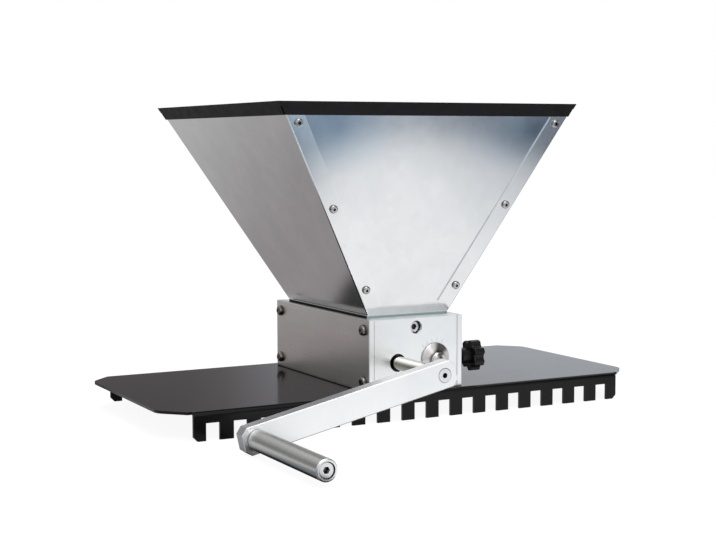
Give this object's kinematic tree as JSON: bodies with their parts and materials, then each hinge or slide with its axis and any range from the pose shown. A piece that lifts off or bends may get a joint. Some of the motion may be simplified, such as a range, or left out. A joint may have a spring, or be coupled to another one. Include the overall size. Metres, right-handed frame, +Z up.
{
  "type": "hand cranked malt mill",
  "caption": "Malt mill with a square sheet hopper, fluted rollers set by eccentrics, a hand crank with a free grip, and a slotted base plate that sits on a bucket's rim.",
  "frame": {"origin": "middle of the whole mill's box, crank at rest, on the surface that the combs stand on", "axes": "+X along the base plate, the crank is on the -Y side, +Z is up"},
  "size_m": [0.386, 0.3674, 0.2252],
  "materials": {
    "black_coated_steel": "semi-gloss powder coat",
    "stainless_screws": "bright stainless",
    "milled_aluminium": "fine milled, clear anodised",
    "brushed_stainless": "brushed along its length",
    "bearing_bronze": "sintered bronze",
    "sintered_iron": "sintered, oil soaked, nearly black",
    "ground_steel": "ground",
    "roller_steel": "hardened, fluted",
    "polished_steel": "turned and polished",
    "black_knob_plastic": "moulded, slightly glossy",
    "satin_aluminium": "blasted and anodised",
    "turned_aluminium": "satin turned",
    "galvanised_sheet": "hot dip galvanised, smooth",
    "black_rubber": "matt"
  },
  "bodies": {
    "mill": {"base_plate": "black_coated_steel", "base_screws": "stainless_screws", "front_end_block": "milled_aluminium", "rear_end_block": "milled_aluminium", "left_side_plate": "brushed_stainless", "right_side_plate": "brushed_stainless", "side_plate_screws": "stainless_screws", "front_drive_bush": "sintered_iron", "rear_drive_bush": "sintered_iron", "drive_thrust_washers": "bearing_bronze", "hopper_front_panel": "galvanised_sheet", "hopper_rear_panel": "galvanised_sheet", "hopper_left_panel": "galvanised_sheet", "hopper_right_panel": "galvanised_sheet", "rim_trim_front": "black_rubber", "rim_trim_rear": "black_rubber", "rim_trim_left": "black_rubber", "rim_trim_right": "black_rubber", "hopper_screws": "stainless_screws", "hopper_nuts": "stainless_screws", "hopper_mount_screws": "stainless_screws", "hopper_mount_nuts": "stainless_screws"},
    "crank": {"crank_arm": "satin_aluminium", "drive_shaft": "ground_steel", "drive_roller": "roller_steel", "crank_screw": "stainless_screws", "grip_bolt": "stainless_screws", "grip_washer": "stainless_screws"},
    "grip": {"grip_sleeve": "turned_aluminium"},
    "front_setter": {"front_eccentric": "polished_steel", "front_idle_bush": "bearing_bronze"},
    "rear_setter": {"rear_eccentric": "polished_steel", "rear_idle_bush": "bearing_bronze"},
    "idler": {"idle_roller": "roller_steel", "idle_shaft": "ground_steel", "idle_thrust_washers": "bearing_bronze"},
    "front_lock_screw": {"front_lock_stud": "ground_steel"},
    "front_lock_handle": {"front_lock_knob": "black_knob_plastic"},
    "rear_lock_screw": {"rear_lock_stud": "ground_steel"},
    "rear_lock_handle": {"rear_lock_knob": "black_knob_plastic"}
  },
  "joints": [
    {"name": "crank_turn", "type": "hinge", "parent": "mill", "child": "crank", "pos_m": [-0.0151, 0.05862, 0.0407], "axis": [0, 1, 0], "continuous": true},
    {"name": "grip_spin", "type": "hinge", "parent": "crank", "child": "grip", "pos_m": [-0.15384, -0.08568, 0.01045], "axis": [0, 1, 0], "continuous": true},
    {"name": "front_gap_set", "type": "hinge", "parent": "mill", "child": "front_setter", "pos_m": [0.0156, -0.01138, 0.04202], "axis": [0, 1, 0], "range_deg": [-41.41, 31]},
    {"name": "rear_gap_set", "type": "hinge", "parent": "mill", "child": "rear_setter", "pos_m": [0.0156, 0.12862, 0.04202], "axis": [0, 1, 0], "range_deg": [-41.41, 31]},
    {"name": "idler_spin", "type": "hinge", "parent": "front_setter", "child": "idler", "pos_m": [0.0171, 0.05862, 0.0407], "axis": [0, 1, 0], "continuous": true},
    {"name": "front_lock_turn", "type": "hinge", "parent": "front_lock_screw", "child": "front_lock_handle", "pos_m": [0.0415, -0.01138, 0.0407], "axis": [1, 0, 0], "range_deg": [0, 720]},
    {"name": "front_lock_travel", "type": "slide", "parent": "mill", "child": "front_lock_screw", "axis": [1, 0, 0], "range_m": [0, 0.002]},
    {"name": "rear_lock_turn", "type": "hinge", "parent": "rear_lock_screw", "child": "rear_lock_handle", "pos_m": [0.0415, 0.12862, 0.0407], "axis": [1, 0, 0], "range_deg": [0, 720]},
    {"name": "rear_lock_travel", "type": "slide", "parent": "mill", "child": "rear_lock_screw", "axis": [1, 0, 0], "range_m": [0, 0.002]}
  ],
  "couplings": [
    {"joint": "rear_gap_set", "follows": "front_gap_set", "ratio": 1},
    {"joint": "idler_spin", "follows": "crank_turn", "ratio": -1},
    {"joint": "front_lock_turn", "follows": "front_lock_travel", "rad_per_m": 6283.2},
    {"joint": "rear_lock_turn", "follows": "rear_lock_travel", "rad_per_m": 6283.2}
  ]
}
